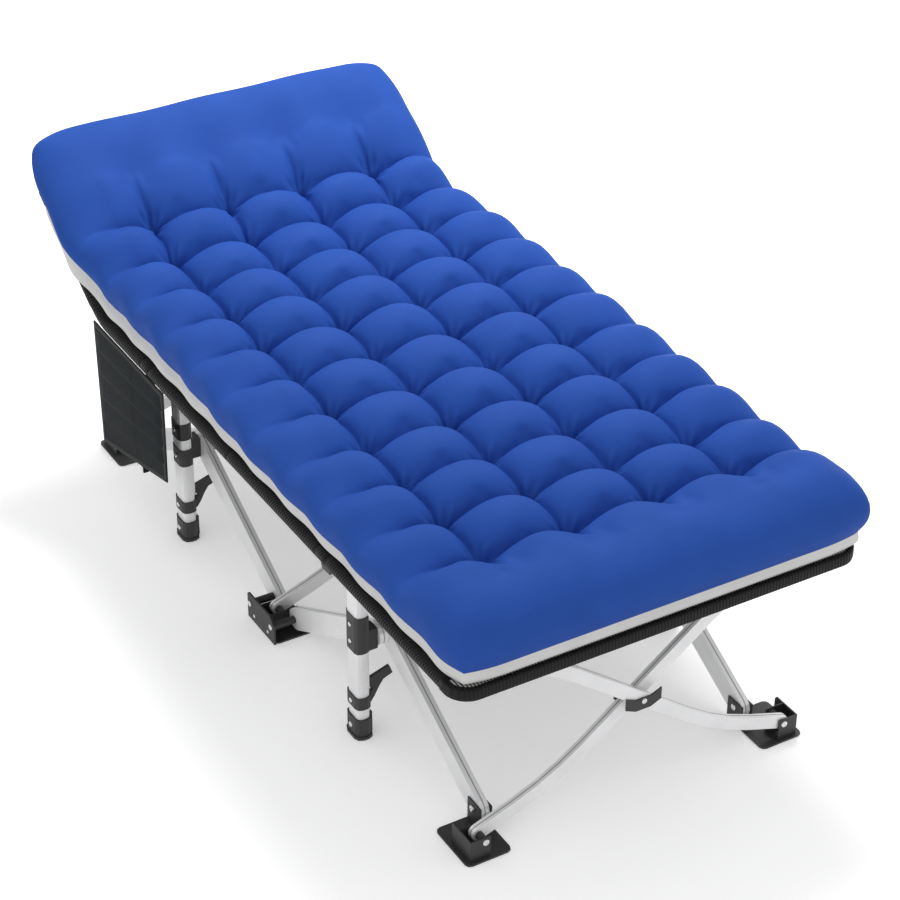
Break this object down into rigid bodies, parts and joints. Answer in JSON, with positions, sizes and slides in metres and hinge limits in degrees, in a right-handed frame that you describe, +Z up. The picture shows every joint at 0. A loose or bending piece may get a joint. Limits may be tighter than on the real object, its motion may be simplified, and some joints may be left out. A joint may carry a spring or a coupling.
{
  "type": "camping cot",
  "caption": "Folding camping cot: crossed flat-tube frames, hinged rails on posts, striped mesh deck with a raised head, side pocket and a tufted pad.",
  "frame": {"origin": "on the floor, below the middle of the cot's box", "axes": "+Z up, +Y along the cot towards the raised head, +X across it to the right as seen from the foot looking at the head"},
  "size_m": [0.8506, 1.804, 0.7143],
  "materials": {
    "silver_tube": "satin",
    "black_moulding": "moulded, fine grain",
    "black_tube": "black powder coat",
    "striped_mesh": "woven, black with grey stripes along the length",
    "pocket_cloth": "dark slate weave",
    "pad_cloth": "brushed blue, pale underside"
  },
  "bodies": {
    "bracket_middle_left": {"bracket_middle_left": "black_moulding", "deck": "striped_mesh"},
    "x_bar_middle_a": {"x_bar_middle_a": "silver_tube", "clip_middle": "black_moulding"},
    "x_bar_middle_b": {"x_bar_middle_b": "silver_tube"},
    "bracket_middle_right": {"bracket_middle_right": "black_moulding"},
    "side_bar_foot_inner_left": {"side_bar_foot_inner_left": "silver_tube"},
    "side_bar_foot_outer_left": {"side_bar_foot_outer_left": "silver_tube"},
    "slider_foot_left": {"slider_foot_left": "black_moulding"},
    "post_foot_left": {"post_foot_left": "silver_tube", "post_boot_foot_left": "black_moulding", "post_band_foot_left": "black_moulding", "stop_arm_foot_left": "black_moulding", "hinge_block_foot_left": "black_moulding"},
    "rail_foot_inner_left": {"rail_foot_inner_left": "black_tube"},
    "rail_foot_outer_left": {"rail_foot_outer_left": "black_tube"},
    "bracket_foot_left": {"bracket_foot_left": "black_moulding"},
    "side_bar_head_inner_left": {"side_bar_head_inner_left": "silver_tube"},
    "side_bar_head_outer_left": {"side_bar_head_outer_left": "silver_tube"},
    "slider_head_left": {"slider_head_left": "black_moulding"},
    "post_head_left": {"post_head_left": "silver_tube", "post_boot_head_left": "black_moulding", "post_band_head_left": "black_moulding", "post_band_lower_head_left": "black_moulding", "stop_arm_head_left": "black_moulding", "hinge_block_head_left": "black_moulding"},
    "rail_head_inner_left": {"rail_head_inner_left": "black_tube"},
    "rail_head_outer_left": {"rail_head_outer_left": "black_tube", "pocket": "pocket_cloth"},
    "bracket_head_left": {"bracket_head_left": "black_moulding"},
    "side_bar_foot_inner_right": {"side_bar_foot_inner_right": "silver_tube"},
    "side_bar_foot_outer_right": {"side_bar_foot_outer_right": "silver_tube"},
    "slider_foot_right": {"slider_foot_right": "black_moulding"},
    "post_foot_right": {"post_foot_right": "silver_tube", "post_boot_foot_right": "black_moulding", "post_band_foot_right": "black_moulding", "stop_arm_foot_right": "black_moulding", "hinge_block_foot_right": "black_moulding"},
    "rail_foot_inner_right": {"rail_foot_inner_right": "black_tube"},
    "rail_foot_outer_right": {"rail_foot_outer_right": "black_tube"},
    "bracket_foot_right": {"bracket_foot_right": "black_moulding"},
    "side_bar_head_inner_right": {"side_bar_head_inner_right": "silver_tube"},
    "side_bar_head_outer_right": {"side_bar_head_outer_right": "silver_tube"},
    "slider_head_right": {"slider_head_right": "black_moulding"},
    "post_head_right": {"post_head_right": "silver_tube", "post_boot_head_right": "black_moulding", "post_band_head_right": "black_moulding", "post_band_lower_head_right": "black_moulding", "stop_arm_head_right": "black_moulding", "hinge_block_head_right": "black_moulding"},
    "rail_head_inner_right": {"rail_head_inner_right": "black_tube"},
    "rail_head_outer_right": {"rail_head_outer_right": "black_tube"},
    "bracket_head_right": {"bracket_head_right": "black_moulding"},
    "x_bar_foot_a": {"x_bar_foot_a": "silver_tube", "clip_foot": "black_moulding"},
    "x_bar_foot_b": {"x_bar_foot_b": "silver_tube"},
    "x_bar_head_a": {"x_bar_head_a": "silver_tube", "clip_head": "black_moulding"},
    "x_bar_head_b": {"x_bar_head_b": "silver_tube"},
    "pad": {"pad": "pad_cloth"}
  },
  "joints": [
    {"name": "fold", "type": "hinge", "parent": "bracket_middle_left", "child": "x_bar_middle_a", "pos_m": [-0.3276, 0, 0.0375], "axis": [0, -1, 0], "range_deg": [0, 46.9], "deforming": ["deck"]},
    {"name": "cross_middle", "type": "hinge", "parent": "x_bar_middle_a", "child": "x_bar_middle_b", "pos_m": [0, 0, 0.2236], "axis": [0, -1, 0], "range_deg": [-93.81, 0]},
    {"name": "foot_middle_right", "type": "hinge", "parent": "x_bar_middle_b", "child": "bracket_middle_right", "pos_m": [0.3276, 0, 0.0375], "axis": [0, -1, 0], "range_deg": [0, 46.9]},
    {"name": "side_bar_foot_pin_foot_left_inner", "type": "hinge", "parent": "bracket_middle_left", "child": "side_bar_foot_inner_left", "pos_m": [-0.3075, -0.046, 0.0375], "axis": [-1, 0, 0], "range_deg": [0, 54.41]},
    {"name": "apex_foot_left", "type": "hinge", "parent": "side_bar_foot_inner_left", "child": "side_bar_foot_outer_left", "pos_m": [-0.2885, -0.3785, 0.218], "axis": [-1, 0, 0], "range_deg": [-108.81, 0]},
    {"name": "slider_pin_foot_left", "type": "hinge", "parent": "side_bar_foot_inner_left", "child": "slider_foot_left", "pos_m": [-0.3075, -0.3785, 0.218], "axis": [-1, 0, 0], "range_deg": [-54.41, 0]},
    {"name": "post_slide_foot_left", "type": "slide", "parent": "slider_foot_left", "child": "post_foot_left", "axis": [0, 0, -1], "range_m": [0, 0.13501]},
    {"name": "rail_hinge_foot_left_inner", "type": "hinge", "parent": "post_foot_left", "child": "rail_foot_inner_left", "pos_m": [-0.4115, -0.3585, 0.427], "axis": [1, 0, 0], "range_deg": [0, 90.01]},
    {"name": "rail_hinge_foot_left_outer", "type": "hinge", "parent": "post_foot_left", "child": "rail_foot_outer_left", "pos_m": [-0.4115, -0.3985, 0.427], "axis": [-1, 0, 0], "range_deg": [0, 90.01]},
    {"name": "bracket_pin_foot_left", "type": "hinge", "parent": "side_bar_foot_outer_left", "child": "bracket_foot_left", "pos_m": [-0.2885, -0.711, 0.0375], "axis": [-1, 0, 0], "range_deg": [0, 54.41]},
    {"name": "side_bar_foot_pin_head_left_inner", "type": "hinge", "parent": "bracket_middle_left", "child": "side_bar_head_inner_left", "pos_m": [-0.3075, 0.046, 0.0375], "axis": [1, 0, 0], "range_deg": [0, 54.41]},
    {"name": "apex_head_left", "type": "hinge", "parent": "side_bar_head_inner_left", "child": "side_bar_head_outer_left", "pos_m": [-0.2885, 0.3785, 0.218], "axis": [1, 0, 0], "range_deg": [-108.81, 0]},
    {"name": "slider_pin_head_left", "type": "hinge", "parent": "side_bar_head_inner_left", "child": "slider_head_left", "pos_m": [-0.3075, 0.3785, 0.218], "axis": [1, 0, 0], "range_deg": [-54.41, 0]},
    {"name": "post_slide_head_left", "type": "slide", "parent": "slider_head_left", "child": "post_head_left", "axis": [0, 0, -1], "range_m": [0, 0.13501]},
    {"name": "rail_hinge_head_left_inner", "type": "hinge", "parent": "post_head_left", "child": "rail_head_inner_left", "pos_m": [-0.4115, 0.3585, 0.427], "axis": [-1, 0, 0], "range_deg": [0, 90.01]},
    {"name": "rail_hinge_head_left_outer", "type": "hinge", "parent": "post_head_left", "child": "rail_head_outer_left", "pos_m": [-0.4115, 0.3985, 0.427], "axis": [1, 0, 0], "range_deg": [0, 70.01]},
    {"name": "bracket_pin_head_left", "type": "hinge", "parent": "side_bar_head_outer_left", "child": "bracket_head_left", "pos_m": [-0.2885, 0.711, 0.0375], "axis": [1, 0, 0], "range_deg": [0, 54.41]},
    {"name": "side_bar_foot_pin_foot_right_inner", "type": "hinge", "parent": "bracket_middle_right", "child": "side_bar_foot_inner_right", "pos_m": [0.3075, -0.046, 0.0375], "axis": [-1, 0, 0], "range_deg": [0, 54.41]},
    {"name": "apex_foot_right", "type": "hinge", "parent": "side_bar_foot_inner_right", "child": "side_bar_foot_outer_right", "pos_m": [0.2885, -0.3785, 0.218], "axis": [-1, 0, 0], "range_deg": [-108.81, 0]},
    {"name": "slider_pin_foot_right", "type": "hinge", "parent": "side_bar_foot_inner_right", "child": "slider_foot_right", "pos_m": [0.3075, -0.3785, 0.218], "axis": [-1, 0, 0], "range_deg": [-54.41, 0]},
    {"name": "post_slide_foot_right", "type": "slide", "parent": "slider_foot_right", "child": "post_foot_right", "axis": [0, 0, -1], "range_m": [0, 0.13501]},
    {"name": "rail_hinge_foot_right_inner", "type": "hinge", "parent": "post_foot_right", "child": "rail_foot_inner_right", "pos_m": [0.4115, -0.3585, 0.427], "axis": [1, 0, 0], "range_deg": [0, 90.01]},
    {"name": "rail_hinge_foot_right_outer", "type": "hinge", "parent": "post_foot_right", "child": "rail_foot_outer_right", "pos_m": [0.4115, -0.3985, 0.427], "axis": [-1, 0, 0], "range_deg": [0, 90.01]},
    {"name": "bracket_pin_foot_right", "type": "hinge", "parent": "side_bar_foot_outer_right", "child": "bracket_foot_right", "pos_m": [0.2885, -0.711, 0.0375], "axis": [-1, 0, 0], "range_deg": [0, 54.41]},
    {"name": "side_bar_foot_pin_head_right_inner", "type": "hinge", "parent": "bracket_middle_right", "child": "side_bar_head_inner_right", "pos_m": [0.3075, 0.046, 0.0375], "axis": [1, 0, 0], "range_deg": [0, 54.41]},
    {"name": "apex_head_right", "type": "hinge", "parent": "side_bar_head_inner_right", "child": "side_bar_head_outer_right", "pos_m": [0.2885, 0.3785, 0.218], "axis": [1, 0, 0], "range_deg": [-108.81, 0]},
    {"name": "slider_pin_head_right", "type": "hinge", "parent": "side_bar_head_inner_right", "child": "slider_head_right", "pos_m": [0.3075, 0.3785, 0.218], "axis": [1, 0, 0], "range_deg": [-54.41, 0]},
    {"name": "post_slide_head_right", "type": "slide", "parent": "slider_head_right", "child": "post_head_right", "axis": [0, 0, -1], "range_m": [0, 0.13501]},
    {"name": "rail_hinge_head_right_inner", "type": "hinge", "parent": "post_head_right", "child": "rail_head_inner_right", "pos_m": [0.4115, 0.3585, 0.427], "axis": [-1, 0, 0], "range_deg": [0, 90.01]},
    {"name": "rail_hinge_head_right_outer", "type": "hinge", "parent": "post_head_right", "child": "rail_head_outer_right", "pos_m": [0.4115, 0.3985, 0.427], "axis": [1, 0, 0], "range_deg": [0, 70.01]},
    {"name": "bracket_pin_head_right", "type": "hinge", "parent": "side_bar_head_outer_right", "child": "bracket_head_right", "pos_m": [0.2885, 0.711, 0.0375], "axis": [1, 0, 0], "range_deg": [0, 54.41]},
    {"name": "x_foot_foot_left", "type": "hinge", "parent": "bracket_foot_left", "child": "x_bar_foot_a", "pos_m": [-0.3276, -0.778, 0.0375], "axis": [0, -1, 0], "range_deg": [0, 46.9]},
    {"name": "x_foot_foot_right", "type": "hinge", "parent": "bracket_foot_right", "child": "x_bar_foot_b", "pos_m": [0.3276, -0.778, 0.0375], "axis": [0, -1, 0], "range_deg": [-46.9, 0]},
    {"name": "x_foot_head_left", "type": "hinge", "parent": "bracket_head_left", "child": "x_bar_head_a", "pos_m": [-0.3276, 0.778, 0.0375], "axis": [0, -1, 0], "range_deg": [0, 46.9]},
    {"name": "x_foot_head_right", "type": "hinge", "parent": "bracket_head_right", "child": "x_bar_head_b", "pos_m": [0.3276, 0.778, 0.0375], "axis": [0, -1, 0], "range_deg": [-46.9, 0]},
    {"name": "pad_lift", "type": "slide", "parent": "bracket_middle_left", "child": "pad", "axis": [0, 0, 1], "range_m": [0, 1.0201]}
  ],
  "couplings": [
    {"joint": "cross_middle", "follows": "fold", "ratio": -2},
    {"joint": "foot_middle_right", "follows": "fold", "ratio": 1},
    {"joint": "side_bar_foot_pin_foot_left_inner", "follows": "fold", "ratio": 1.1599},
    {"joint": "apex_foot_left", "follows": "fold", "ratio": -2.3198},
    {"joint": "slider_pin_foot_left", "follows": "fold", "ratio": -1.1599},
    {"joint": "post_slide_foot_left", "follows": "fold", "m_per_rad": 0.16492},
    {"joint": "rail_hinge_foot_left_inner", "follows": "fold", "ratio": 1.919},
    {"joint": "rail_hinge_foot_left_outer", "follows": "fold", "ratio": 1.919},
    {"joint": "bracket_pin_foot_left", "follows": "fold", "ratio": 1.1599},
    {"joint": "side_bar_foot_pin_head_left_inner", "follows": "fold", "ratio": 1.1599},
    {"joint": "apex_head_left", "follows": "fold", "ratio": -2.3198},
    {"joint": "slider_pin_head_left", "follows": "fold", "ratio": -1.1599},
    {"joint": "post_slide_head_left", "follows": "fold", "m_per_rad": 0.16492},
    {"joint": "rail_hinge_head_left_inner", "follows": "fold", "ratio": 1.919},
    {"joint": "rail_hinge_head_left_outer", "follows": "fold", "ratio": 1.4925},
    {"joint": "bracket_pin_head_left", "follows": "fold", "ratio": 1.1599},
    {"joint": "side_bar_foot_pin_foot_right_inner", "follows": "fold", "ratio": 1.1599},
    {"joint": "apex_foot_right", "follows": "fold", "ratio": -2.3198},
    {"joint": "slider_pin_foot_right", "follows": "fold", "ratio": -1.1599},
    {"joint": "post_slide_foot_right", "follows": "fold", "m_per_rad": 0.16492},
    {"joint": "rail_hinge_foot_right_inner", "follows": "fold", "ratio": 1.919},
    {"joint": "rail_hinge_foot_right_outer", "follows": "fold", "ratio": 1.919},
    {"joint": "bracket_pin_foot_right", "follows": "fold", "ratio": 1.1599},
    {"joint": "side_bar_foot_pin_head_right_inner", "follows": "fold", "ratio": 1.1599},
    {"joint": "apex_head_right", "follows": "fold", "ratio": -2.3198},
    {"joint": "slider_pin_head_right", "follows": "fold", "ratio": -1.1599},
    {"joint": "post_slide_head_right", "follows": "fold", "m_per_rad": 0.16492},
    {"joint": "rail_hinge_head_right_inner", "follows": "fold", "ratio": 1.919},
    {"joint": "rail_hinge_head_right_outer", "follows": "fold", "ratio": 1.4925},
    {"joint": "bracket_pin_head_right", "follows": "fold", "ratio": 1.1599},
    {"joint": "x_foot_foot_left", "follows": "fold", "ratio": 1},
    {"joint": "x_foot_foot_right", "follows": "fold", "ratio": -1},
    {"joint": "x_foot_head_left", "follows": "fold", "ratio": 1},
    {"joint": "x_foot_head_right", "follows": "fold", "ratio": -1},
    {"joint": "pad_lift", "follows": "fold", "m_per_rad": 1.2461}
  ]
}
